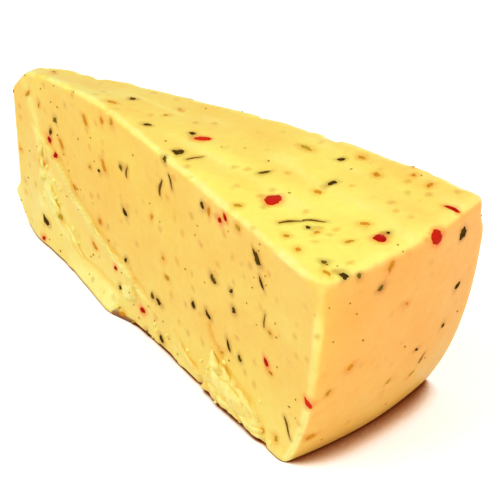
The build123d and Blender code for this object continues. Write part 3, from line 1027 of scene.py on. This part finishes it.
def fleck_tree():
    """Places shapes at given points and scatters more over a surface."""
    tree = bpy.data.node_groups.new("Flecks", "GeometryNodeTree")
    face = tree.interface
    face.new_socket("Places", in_out="INPUT", socket_type="NodeSocketGeometry")
    for label, kind, value in (
        ("Surface", "NodeSocketObject", None), ("Shapes", "NodeSocketCollection", None),
        ("Material", "NodeSocketMaterial", None), ("Density", "NodeSocketFloat", 0.0),
        ("Gap", "NodeSocketFloat", 0.002), ("Room", "NodeSocketString", "fleck_room"),
        ("Smallest", "NodeSocketVector", (0.001, 0.001, 0.0003)),
        ("Largest", "NodeSocketVector", (0.003, 0.002, 0.0004)), ("Seed", "NodeSocketInt", 0),
    ):
        socket = face.new_socket(label, in_out="INPUT", socket_type=kind)
        if value is not None:
            socket.default_value = value
    face.new_socket("Flecks", in_out="OUTPUT", socket_type="NodeSocketGeometry")
    given = add_node(tree, "NodeGroupInput", (-1400, 0))
    out = add_node(tree, "NodeGroupOutput", (1200, 0))
    link = tree.links.new

    def attribute(name, kind, place):
        node = add_node(tree, "GeometryNodeInputNamedAttribute", place, data_type=kind)
        node.inputs["Name"].default_value = name
        return node.outputs["Attribute"]

    def keep(source, name, kind, value, place):
        node = add_node(tree, "GeometryNodeStoreNamedAttribute", place, data_type=kind, domain="POINT")
        node.inputs["Name"].default_value = name
        link(source, node.inputs["Geometry"])
        link(value, node.inputs["Value"])
        return node.outputs["Geometry"]

    surface = add_node(tree, "GeometryNodeObjectInfo", (-1200, -300))
    link(given.outputs["Surface"], surface.inputs["Object"])
    scatter = add_node(tree, "GeometryNodeDistributePointsOnFaces", (-1000, -300),
                       distribute_method="POISSON")
    link(surface.outputs["Geometry"], scatter.inputs["Mesh"])
    link(given.outputs["Gap"], scatter.inputs["Distance Min"])
    link(given.outputs["Density"], scatter.inputs["Density Max"])
    room = add_node(tree, "GeometryNodeInputNamedAttribute", (-1200, -600), data_type="FLOAT")
    link(given.outputs["Room"], room.inputs["Name"])
    link(room.outputs["Attribute"], scatter.inputs["Density Factor"])
    link(given.outputs["Seed"], scatter.inputs["Seed"])
    size = add_node(tree, "FunctionNodeRandomValue", (-1000, -700), data_type="FLOAT_VECTOR")
    link(given.outputs["Smallest"], size.inputs[0])
    link(given.outputs["Largest"], size.inputs[1])
    turn = add_node(tree, "FunctionNodeRandomValue", (-1000, -900), data_type="FLOAT")
    turn.inputs[3].default_value = 2 * math.pi
    loose = keep(scatter.outputs["Points"], "size", "FLOAT_VECTOR", size.outputs["Value"], (-700, -300))
    loose = keep(loose, "out", "FLOAT_VECTOR", scatter.outputs["Normal"], (-500, -300))
    loose = keep(loose, "turn", "FLOAT", turn.outputs[1], (-300, -300))
    join = add_node(tree, "GeometryNodeJoinGeometry", (-100, 0))
    link(loose, join.inputs[0])
    vertices = add_node(tree, "GeometryNodeMeshToPoints", (-500, 100))
    link(given.outputs["Places"], vertices.inputs["Mesh"])
    link(vertices.outputs["Points"], join.inputs[0])

    upright = add_node(tree, "FunctionNodeAlignRotationToVector", (0, -500), axis="Z")
    link(attribute("out", "FLOAT_VECTOR", (-200, -500)), upright.inputs["Vector"])
    spin = add_node(tree, "FunctionNodeAxisAngleToRotation", (0, -700))
    spin.inputs["Axis"].default_value = (0, 0, 1)
    link(attribute("turn", "FLOAT", (-200, -700)), spin.inputs["Angle"])
    turned = add_node(tree, "FunctionNodeRotateRotation", (200, -500), rotation_space="LOCAL")
    link(upright.outputs["Rotation"], turned.inputs["Rotation"])
    link(spin.outputs["Rotation"], turned.inputs["Rotate By"])
    order = add_node(tree, "GeometryNodeInputIndex", (-300, 600))
    pick = add_node(tree, "FunctionNodeRandomValue", (-100, 500), data_type="FLOAT")
    which = add_node(tree, "FunctionNodeRandomValue", (100, 700), data_type="INT")
    link(order.outputs["Index"], pick.inputs["ID"])
    link(order.outputs["Index"], which.inputs["ID"])
    link(given.outputs["Seed"], which.inputs["Seed"])
    link(given.outputs["Seed"], pick.inputs["Seed"])
    all_points = keep(join.outputs["Geometry"], "pick", "FLOAT", pick.outputs[1], (100, 0))
    shapes = add_node(tree, "GeometryNodeCollectionInfo", (0, 300))
    shapes.inputs["Separate Children"].default_value = True
    shapes.inputs["Reset Children"].default_value = True
    link(given.outputs["Shapes"], shapes.inputs["Collection"])
    put = add_node(tree, "GeometryNodeInstanceOnPoints", (400, 0))
    put.inputs["Pick Instance"].default_value = True
    link(all_points, put.inputs["Points"])
    link(shapes.outputs["Instances"], put.inputs["Instance"])
    link(which.outputs[2], put.inputs["Instance Index"])
    link(turned.outputs["Rotation"], put.inputs["Rotation"])
    link(attribute("size", "FLOAT_VECTOR", (200, -300)), put.inputs["Scale"])
    real = add_node(tree, "GeometryNodeRealizeInstances", (700, 0))
    link(put.outputs["Instances"], real.inputs["Geometry"])
    finish = add_node(tree, "GeometryNodeSetMaterial", (900, 0))
    link(real.outputs["Geometry"], finish.inputs["Geometry"])
    link(given.outputs["Material"], finish.inputs["Material"])
    link(finish.outputs["Geometry"], out.inputs["Flecks"])
    return tree


def settle_on(body, points):
    """The nearest points of the finished body and its outward directions there."""
    found = [body.closest_point_on_mesh(Vector(p) * MM) for p in points]
    return np.array([hit[1] / MM for hit in found]), np.array([hit[2] for hit in found])


def lay_down(mesh, body, thickness):
    """Bends flecks to the surface they lie on, so that none stands off an edge."""
    levels = [item.value for item in mesh.attributes["level"].data]
    for vertex, level in zip(mesh.vertices, levels):
        _, place, out, _ = body.closest_point_on_mesh(vertex.co)
        place = place + out * (level * thickness * MM)
        vertex.co = (place.x, place.y, max(place.z, -0.05 * MM))


def make_flecks(context, name, flecks, shapes, material, thickness, **scattered):
    """Places the named flecks and scatters the rest, and leaves one plain mesh."""
    form = Form(context.scene.cheese_shape)
    body = bpy.data.objects["cheese_body"]
    places, _, along = face_places(form, flecks)
    points, out = settle_on(body, places)
    base = new_mesh(name + "_places", points, [])
    turns = []
    for direction, line, (*_, turn) in zip(out, along, flecks):
        up = Vector(direction)
        # The turn that takes +Z to this direction, as the fleck tree makes it.
        upright = Vector((0, 0, 1)).rotation_difference(up)
        first = upright @ Vector((1, 0, 0))
        flat = Vector(line) - up * up.dot(Vector(line))
        sign = 1 if up.dot(first.cross(flat)) > 0 else -1
        turns.append(sign * first.angle(flat) + math.radians(turn))
    paint(base, "out", "FLOAT_VECTOR", out)
    paint(base, "turn", "FLOAT", turns)
    paint(base, "size", "FLOAT_VECTOR", [(row[3] * MM, row[4] * MM, thickness * MM) for row in flecks])
    tree = bpy.data.node_groups.get("Flecks") or fleck_tree()
    modifier = base.modifiers.new("Flecks", "NODES")
    modifier.node_group = tree
    values = {"Surface": body, "Shapes": shapes, "Material": material, **scattered}
    for item in tree.interface.items_tree:
        label = item.name.replace(" ", "_")
        if item.in_out == "INPUT" and label in values:
            modifier[item.identifier] = values[label]
    context.view_layer.update()
    baked = bpy.data.meshes.new_from_object(base.evaluated_get(context.evaluated_depsgraph_get()))
    base.modifiers.clear()
    bpy.data.objects.remove(base)
    piece = bpy.data.objects.new(name, baked)
    baked.name = name
    context.scene.collection.objects.link(piece)
    lay_down(baked, body, thickness)
    for used in ("size", "out", "turn", "level"):
        if used in baked.attributes:
            baked.attributes.remove(baked.attributes[used])
    baked.polygons.foreach_set("use_smooth", [True] * len(baked.polygons))
    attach(piece, BODY)


class CHEESE_OT_rolls(bpy.types.Operator):
    """Makes the rolls of paste torn up along the foot of the near cut"""

    bl_idname = "cheese.rolls"
    bl_label = "Torn Rolls"

    def execute(self, context):
        form = Form(context.scene.cheese_shape)
        points, faces = [], []
        for seed, (path, width, thick) in enumerate(ROLLS):
            more, skin = self.roll(form, np.array(path, float), width, thick, seed)
            faces += [tuple(k + sum(len(p) for p in points) for k in face) for face in skin]
            points.append(more)
        points = np.concatenate(points)
        rolls = new_mesh("torn_rolls", points, faces)
        # The rolls are smeared paste, painted pale with highlights.
        smear_and_highlight = np.clip(0.9 + 0.5 * noise(points, 2.2, 61), 0, 1)
        paint(rolls, "zones", "FLOAT_COLOR", np.stack((0 * smear_and_highlight, 0 * smear_and_highlight, smear_and_highlight, 0 * smear_and_highlight + 1), axis=1))
        # Painted shade in the hollows between the lumps.
        hollow_shade = np.clip(-noise(points, 1.3, 62) - 0.1, 0, 1)[:, None]
        stain = 1 - hollow_shade * (1 - np.array((1.0, 0.85, 0.5)))
        paint(rolls, "stain", "FLOAT_COLOR", np.concatenate((stain, hollow_shade * 0 + 1), axis=1))
        rolls.data.materials.append(bpy.data.materials["Cheese"])
        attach(rolls, BODY)
        return {"FINISHED"}

    def roll(self, form, path, width, thick, seed):
        """One roll: a lumpy strap along a path, pinched shut at both ends."""
        line = smooth_path(path)
        run = np.concatenate(((0.0,), np.cumsum(np.linalg.norm(np.diff(line, axis=0), axis=1))))
        rows, sides = int(run[-1] / 0.25), 28
        t = np.linspace(0, 1, rows)
        middle = np.stack([np.interp(t * run[-1], run, line[:, k]) for k in range(3)], axis=1)
        middle += 0.35 * np.stack([noise(middle, 2.5, 100 + seed + 10 * k) for k in range(3)], axis=1)
        centre = (form.near_corner + form.near_along * middle[:, :1] + form.near_out * middle[:, 2:]
                  + np.array((0, 0, 1.0)) * middle[:, 1:2])
        ahead = np.gradient(centre, axis=0)
        ahead /= np.linalg.norm(ahead, axis=1)[:, None]
        side = np.cross(ahead, form.near_out)
        side /= np.linalg.norm(side, axis=1)[:, None]
        lift = np.cross(side, ahead)
        girth = 0.5 * width * np.sin(np.pi * np.clip(t, 0.004, 0.996)) ** 0.5
        girth = girth * (1 + 0.35 * noise(centre, 2.8, 70 + seed))
        turn = np.linspace(0, 2 * np.pi, sides, endpoint=False)
        ring = (np.cos(turn)[None, :, None] * side[:, None, :]
                + thick / width * np.sin(turn)[None, :, None] * lift[:, None, :])
        points = (centre[:, None, :] + girth[:, None, None] * ring).reshape(-1, 3)
        outward = ring.reshape(-1, 3)
        lumps = 0.15 - 0.8 * np.abs(noise(points, 2.6, 80 + seed)) + 0.2 * noise(points, 1.1, 90 + seed)
        most = min(0.7, 0.6 * width)
        points = points + outward * (lumps * np.repeat(girth, sides) / girth.max() * most)[:, None]
        faces = []
        for k in range(rows - 1):
            for j in range(sides):
                n = (j + 1) % sides
                faces.append((k * sides + j, (k + 1) * sides + j, (k + 1) * sides + n, k * sides + n))
        faces.append(tuple(range(sides)))
        faces.append(tuple((rows - 1) * sides + j for j in reversed(range(sides))))
        return points, faces


# What each kind of fleck needs: the piece, its material's name, the flecks with a
# place of their own, the shapes' name, kind, number and first seed, the flecks'
# thickness in millimetres, how many are scattered on a square metre, how far apart,
# where there is room, their smallest and largest sizes in metres, the seed's step,
# and the surface's roughness and the scale of its unevenness.
Kind = namedtuple("Kind", "piece material flecks shapes outline count first_seed thickness "
                          "density gap room smallest largest seed_step roughness swell")
KINDS = (
    Kind("crumbs", "Crumbs", CRUMBS, "crumb_shapes", "bit", 5, 600, 0.55, 60000.0, 0.0014, "crumb_room",
         (0.0005, 0.0005, 0.0002), (0.0018, 0.0014, 0.0004), 6, 0.5, 500.0),
    Kind("red_pepper", "Red pepper", PEPPER, "pepper_shapes", "flake", 5, 100, 0.35, 900.0, 0.006,
         "pepper_room",
         (0.0012, 0.0010, 0.0003), (0.0030, 0.0022, 0.0004), 0, 0.35, 500.0),
    Kind("herb_leaf", "Herb leaf", LEAVES, "herb_shapes", "leaf", 6, 200, 0.30, 2800.0, 0.003, "fleck_room",
         (0.0008, 0.0006, 0.0002), (0.0026, 0.0015, 0.0004), 1, 0.8, 900.0),
    Kind("golden_bits", "Golden bits", GOLD, "gold_shapes", "bit", 5, 300, 0.25, 4800.0, 0.003, "fleck_room",
         (0.0007, 0.0005, 0.0002), (0.0028, 0.0014, 0.0003), 2, 0.5, 400.0),
    Kind("herb_stems", "Herb stems", STEMS, "stem_shapes", "stem", 4, 400, 0.35, 500.0, 0.01, "fleck_room",
         (0.0020, 0.0004, 0.0003), (0.0050, 0.0007, 0.0004), 3, 0.6, 900.0),
    Kind("specks", "Specks", HERB[:1], "speck_shapes", "bit", 3, 500, 0.2, None, 0.0016, "speck_room",
         (0.0003, 0.0003, 0.0001), (0.0009, 0.0007, 0.0003), 5, 0.6, 300.0),
)


class CHEESE_OT_flecks(bpy.types.Operator):
    """Makes the crumbs, pepper flakes, herb leaf, golden bits, stems and specks"""

    bl_idname = "cheese.flecks"
    bl_label = "Flecks"

    def execute(self, context):
        settings = context.scene.cheese_flecks
        colours = self.colours(context.scene.cheese_look)
        for kind in KINDS:
            material = fleck_material(kind.material, *colours[kind.piece], kind.roughness, kind.swell)
            seeds = range(kind.first_seed, kind.first_seed + kind.count)
            if kind.outline == "stem":
                made = [stem_mesh(seed) for seed in seeds]
            else:
                made = [fleck_mesh(kind.outline, seed) for seed in seeds]
            density = settings.specks if kind.density is None else kind.density
            make_flecks(context, kind.piece, kind.flecks, variants(kind.shapes, made), material,
                        kind.thickness, Density=density, Gap=kind.gap, Room=kind.room, Smallest=kind.smallest,
                        Largest=kind.largest, Seed=settings.seed + kind.seed_step)
        return {"FINISHED"}

    def colours(self, look):
        """Two colours that run into each other on each kind, and one that some turn to."""
        pale, cut, red, green, gold, brown = (Vector(value) for value in (
            look.smear_and_highlight_colour, look.cut_colour, look.pepper_colour,
            look.herb_colour, look.gold_colour, look.stem_colour,
        ))
        return {
            "crumbs": (cut.lerp(pale, 0.35), pale, pale),
            "red_pepper": (red * 0.55, red + Vector((0.12, 0.006, 0.0)), red + Vector((0.2, 0.025, 0.004))),
            "herb_leaf": (green * 0.8, (0.10, 0.055, 0.006), (0.20, 0.12, 0.012)),
            "golden_bits": (gold * 0.75, gold * 1.25, (0.50, 0.33, 0.02)),
            "herb_stems": (brown * 0.35, brown * 1.2, (0.15, 0.08, 0.008)),
            "specks": (brown * 1.2, brown * 2.6, (0.66, 0.34, 0.03)),
        }


# The colour that each piece's edge runs into the paste, and how far in millimetres. Round the flecks this is
# their own colour bleeding out; round the torn rolls it is painted shade where they meet the face.
HALOS = (
    ("torn_rolls", (0.98, 0.80, 0.48), 0.5), ("red_pepper", (0.98, 0.42, 0.22), 0.9),
    ("herb_leaf", (0.66, 0.50, 0.24), 0.85), ("golden_bits", (0.92, 0.66, 0.30), 1.0),
    ("herb_stems", (0.72, 0.56, 0.28), 0.7),
)


class CHEESE_OT_stains(bpy.types.Operator):
    """Runs the flecks' colours into the paste round them, and paints shade round the torn rolls"""

    bl_idname = "cheese.stains"
    bl_label = "Fleck Stains"

    def execute(self, context):
        body = bpy.data.objects["cheese_body"].data
        points = np.empty(len(body.vertices) * 3, np.float32)
        body.vertices.foreach_get("co", points)
        points = points.reshape(-1, 3)
        layer = body.attributes["stain"].data
        stain = np.empty(len(points) * 4, np.float32)
        layer.foreach_get("color", stain)
        stain = stain.reshape(-1, 4)
        uneven = 1 + 0.75 * noise(points / MM, 1.8, 51)
        for name, tint, reach in HALOS:
            spots = bpy.data.objects[name].data.vertices
            tree = KDTree(len(spots))
            for k, spot in enumerate(spots):
                tree.insert(spot.co, k)
            tree.balance()
            gap = np.array([tree.find(p)[2] for p in points.tolist()]) / MM
            share = np.exp(-((gap / (reach * uneven)) ** 2))[:, None]
            stain[:, :3] *= 1 - 0.85 * share * (1 - np.array(tint))
        layer.foreach_set("color", stain.ravel())
        return {"FINISHED"}


FLOOR_REACH = 2.0
# The floor's colours between its darkest and its clear ones, with their places.
FLOOR_SHADES = (
    (0.3, (0.19, 0.03, 0.005, 1)), (0.6, (0.44, 0.20, 0.06, 1)), (0.85, (0.74, 0.58, 0.41, 1)),
)
# Each lamp's place and size in metres; every one faces the middle of the base.
LAMPS = {
    "key": ((-0.16, -0.42, 0.62), 0.45),
    "side": ((0.75, 0.05, 0.40), 0.6),
    "back": ((-0.05, 0.80, 0.14), 0.7),
}
LOOK_AT = Vector((-17.9, 34.4, -0.3)) * MM      # what the camera is turned to


class CHEESE_OT_stage(bpy.types.Operator):
    """Makes the floor, the lamps and the camera"""

    bl_idname = "cheese.stage"
    bl_label = "Studio"

    def execute(self, context):
        scene = context.scene
        studio = scene.cheese_studio
        self.make_floor(Form(scene.cheese_shape))
        self.make_world(scene, studio.fill)
        for name, (place, size) in LAMPS.items():
            self.make_lamp(name, place, size, getattr(studio, name + "_power"))
        self.make_camera(scene, studio)
        scene.view_settings.view_transform = "Standard"
        return {"FINISHED"}

    def make_floor(self, form):
        corners = np.array(((-1, -1, 0), (1, -1, 0), (1, 1, 0), (-1, 1, 0))) * FLOOR_REACH
        floor = new_mesh("floor", corners / MM, ((0, 1, 2, 3),), smooth=False)
        material, tree, shader, where = new_material("White floor")
        shader.inputs["Base Color"].default_value = (0.9, 0.9, 0.9, 1)
        shader.inputs["Roughness"].default_value = 0.9
        shader.inputs["Specular IOR Level"].default_value = 0.0
        link = tree.links.new
        # The floor deepens and warms where the wedge keeps light from it.
        open_sky = add_node(tree, "ShaderNodeAmbientOcclusion", (-700, 200))
        open_sky.inputs["Distance"].default_value = 0.017
        shade = map_range(tree, (-500, 200), open_sky.outputs["AO"], 0.22, 0.55, kind="SMOOTHSTEP")
        # The near cut is lit from in front, so its foot has only a thin brown line.
        spot = add_node(tree, "ShaderNodeSeparateXYZ", (-1100, 500))
        link(where, spot.inputs[0])
        in_front = add_node(tree, "ShaderNodeVectorMath", (-1100, 700), operation="DOT_PRODUCT")
        in_front.inputs[1].default_value = form.near_out
        link(where, in_front.inputs[0])
        face_at = form.near_corner @ form.near_out * MM
        before_it = map_range(tree, (-900, 700), in_front.outputs["Value"], face_at - MM, face_at + 2 * MM)
        along_it = map_range(tree, (-900, 500), spot.outputs["X"], 70 * MM, 52 * MM, kind="SMOOTHSTEP")
        lit = math_node(tree, (-700, 600), "MULTIPLY", before_it, along_it)
        lit = math_node(tree, (-500, 600), "MULTIPLY", lit, 0.32)
        ramp = add_node(tree, "ShaderNodeValToRGB", (-300, 200))
        ramp.color_ramp.elements[0].color = (0.08, 0.010, 0.002, 1)
        ramp.color_ramp.elements[1].color = (0.92, 0.92, 0.92, 1)
        for place, colour_there in FLOOR_SHADES:
            ramp.color_ramp.elements.new(place).color = colour_there
        link(math_node(tree, (-400, 400), "ADD", shade, lit), ramp.inputs["Fac"])
        link(ramp.outputs["Color"], shader.inputs["Base Color"])
        link(ramp.outputs["Color"], shader.inputs["Emission Color"])
        # Far from the wedge the camera sees the floor brighter, up to the background's white.
        away = add_node(tree, "ShaderNodeVectorMath", (-1100, -400), operation="LENGTH")
        link(where, away.inputs[0])
        level = map_range(tree, (-900, -400), away.outputs["Value"], 0.2, 0.9, 0.36, 0.7, "SMOOTHSTEP")
        path = add_node(tree, "ShaderNodeLightPath", (-600, -200))
        lift = math_node(tree, (-300, -200), "MULTIPLY", path.outputs["Is Camera Ray"], level)
        link(lift, shader.inputs["Emission Strength"])
        floor.data.materials.append(material)

    def make_world(self, scene, strength):
        world = bpy.data.worlds.new("Studio")
        scene.world = world
        world.use_nodes = True
        tree = world.node_tree
        background = tree.nodes["Background"]
        background.inputs["Color"].default_value = (1, 1, 1, 1)
        path = add_node(tree, "ShaderNodeLightPath", (-800, 0))
        seen = path.outputs["Is Camera Ray"]
        level = add_node(tree, "ShaderNodeMix", (-300, 0), data_type="FLOAT")
        level.inputs["A"].default_value = strength
        level.inputs["B"].default_value = 1.0
        tree.links.new(seen, level.inputs["Factor"])
        tree.links.new(level.outputs["Result"], background.inputs["Strength"])

    def make_lamp(self, name, place, size, watts):
        light = bpy.data.lights.new(name, "AREA")
        light.size = size
        light.energy = watts
        lamp = bpy.data.objects.new(name, light)
        bpy.context.scene.collection.objects.link(lamp)
        lamp.location = place
        lamp.rotation_euler = (-Vector(place)).to_track_quat("-Z", "Y").to_euler()

    def make_camera(self, scene, studio):
        a, e = studio.azimuth, studio.elevation
        back = Vector((math.sin(a) * math.cos(e), -math.cos(a) * math.cos(e), math.sin(e)))
        right = (-back).cross(Vector((0, 0, 1))).normalized()
        up = right.cross(-back)
        turned_right = right * math.cos(studio.roll) + up * math.sin(studio.roll)
        turned_up = up * math.cos(studio.roll) - right * math.sin(studio.roll)
        data = bpy.data.cameras.new("camera")
        data.lens = studio.lens
        data.sensor_width = 36.0
        data.clip_start = 0.01
        camera = bpy.data.objects.new("camera", data)
        scene.collection.objects.link(camera)
        turn = Matrix((turned_right, turned_up, back)).transposed().to_4x4()
        camera.matrix_world = Matrix.Translation(LOOK_AT + back * studio.distance) @ turn
        scene.camera = camera


class CHEESE_PT_panel(bpy.types.Panel):
    """Lists the sizes, colours and steps of the cheese wedge"""

    bl_label = "Cheese Wedge"
    bl_idname = "CHEESE_PT_panel"
    bl_space_type = "VIEW_3D"
    bl_region_type = "UI"
    bl_category = "Cheese"

    def draw(self, context):
        layout = self.layout
        for group in SETTINGS:
            box = layout.box()
            settings = getattr(context.scene, group)
            for name in settings.__annotations__:
                box.prop(settings, name)
        for step in STEPS:
            layout.operator(step.bl_idname)


SETTINGS = {
    "cheese_shape": CheeseShape,
    "cheese_look": CheeseLook,
    "cheese_flecks": CheeseFlecks,
    "cheese_studio": CheeseStudio,
}
# The steps, in the order in which they have to run.
STEPS = (CHEESE_OT_stage, CHEESE_OT_body, CHEESE_OT_rolls, CHEESE_OT_flecks, CHEESE_OT_stains)


def register():
    for group in (*SETTINGS.values(), *STEPS, CHEESE_PT_panel):
        bpy.utils.register_class(group)
    for name, group in SETTINGS.items():
        setattr(bpy.types.Scene, name, PointerProperty(type=group))


def unregister():
    for name in SETTINGS:
        delattr(bpy.types.Scene, name)
    for group in reversed((*SETTINGS.values(), *STEPS, CHEESE_PT_panel)):
        bpy.utils.unregister_class(group)


def main():
    register()
    for step in STEPS:
        area, name = step.bl_idname.split(".")
        getattr(getattr(bpy.ops, area), name)()


if __name__ == "__main__":
    main()
